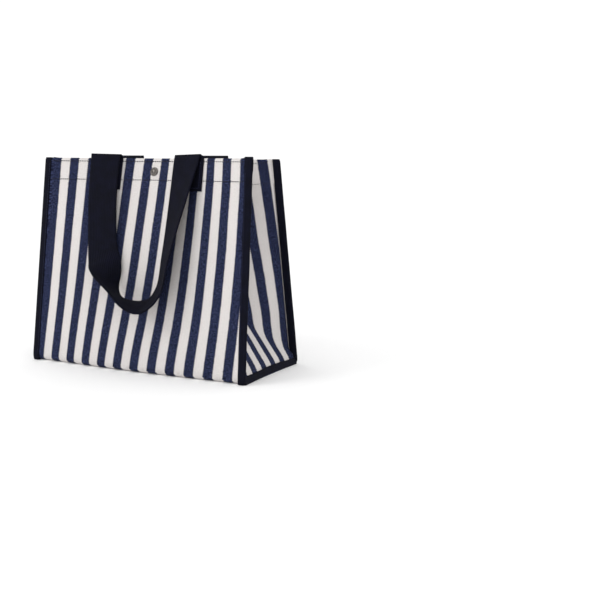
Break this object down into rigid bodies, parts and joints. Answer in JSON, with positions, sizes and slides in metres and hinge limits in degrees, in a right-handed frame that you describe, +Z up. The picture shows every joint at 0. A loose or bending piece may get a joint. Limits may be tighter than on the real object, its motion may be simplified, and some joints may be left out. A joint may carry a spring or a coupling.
{
  "type": "canvas tote bag",
  "caption": "Open-topped striped canvas tote bag with inward-folding gussets, bound seams, webbing hand loops and a snap at the mouth.",
  "frame": {"origin": "middle of the underside of the bottom panel, on the surface the bag stands on", "axes": "+X along the bag's width to its right, -Y out of the front, +Z up through the mouth"},
  "size_m": [0.3694, 0.2368, 0.3108],
  "materials": {
    "striped_canvas": "plain-woven cotton canvas with 15 mm navy and off-white stripes, matt",
    "navy_tape": "dark navy cotton binding tape, matt",
    "navy_webbing": "dark navy ribbed webbing, matt",
    "snap_metal": "pressed metal, polished",
    "board": "stiff fibre board, matt"
  },
  "bodies": {
    "base": {"bottom_panel": "striped_canvas", "base_board": "board", "left_gusset": "striped_canvas", "right_gusset": "striped_canvas", "left_gusset_hem": "striped_canvas", "right_gusset_hem": "striped_canvas", "left_base_binding": "navy_tape", "right_base_binding": "navy_tape"},
    "front_wall": {"front_panel": "striped_canvas", "front_hem": "striped_canvas", "left_front_binding": "navy_tape", "right_front_binding": "navy_tape", "front_handle_left_end": "navy_webbing", "front_handle_right_end": "navy_webbing", "snap_cap": "snap_metal", "snap_socket": "snap_metal"},
    "back_wall": {"back_panel": "striped_canvas", "back_hem": "striped_canvas", "left_back_binding": "navy_tape", "right_back_binding": "navy_tape", "back_handle_left_end": "navy_webbing", "back_handle_right_end": "navy_webbing", "snap_back_cap": "snap_metal", "snap_stud": "snap_metal"},
    "front_handle": {"front_handle": "navy_webbing"},
    "back_handle": {"back_handle": "navy_webbing"}
  },
  "joints": [
    {"name": "front_wall_tilt", "type": "hinge", "parent": "base", "child": "front_wall", "pos_m": [0, -0.081, 0.0103], "axis": [1, 0, 0], "range_deg": [0, 6]},
    {"name": "back_wall_tilt", "type": "hinge", "parent": "base", "child": "back_wall", "pos_m": [0, 0.081, 0.0103], "axis": [-1, 0, 0], "range_deg": [0, 9.3]},
    {"name": "front_handle_swing", "type": "hinge", "parent": "front_wall", "child": "front_handle", "pos_m": [0, -0.03, 0.3084], "axis": [-1, 0, 0], "range_deg": [0, 165]},
    {"name": "back_handle_swing", "type": "hinge", "parent": "back_wall", "child": "back_handle", "pos_m": [0, 0.034, 0.3084], "axis": [1, 0, 0], "range_deg": [0, 165]}
  ]
}
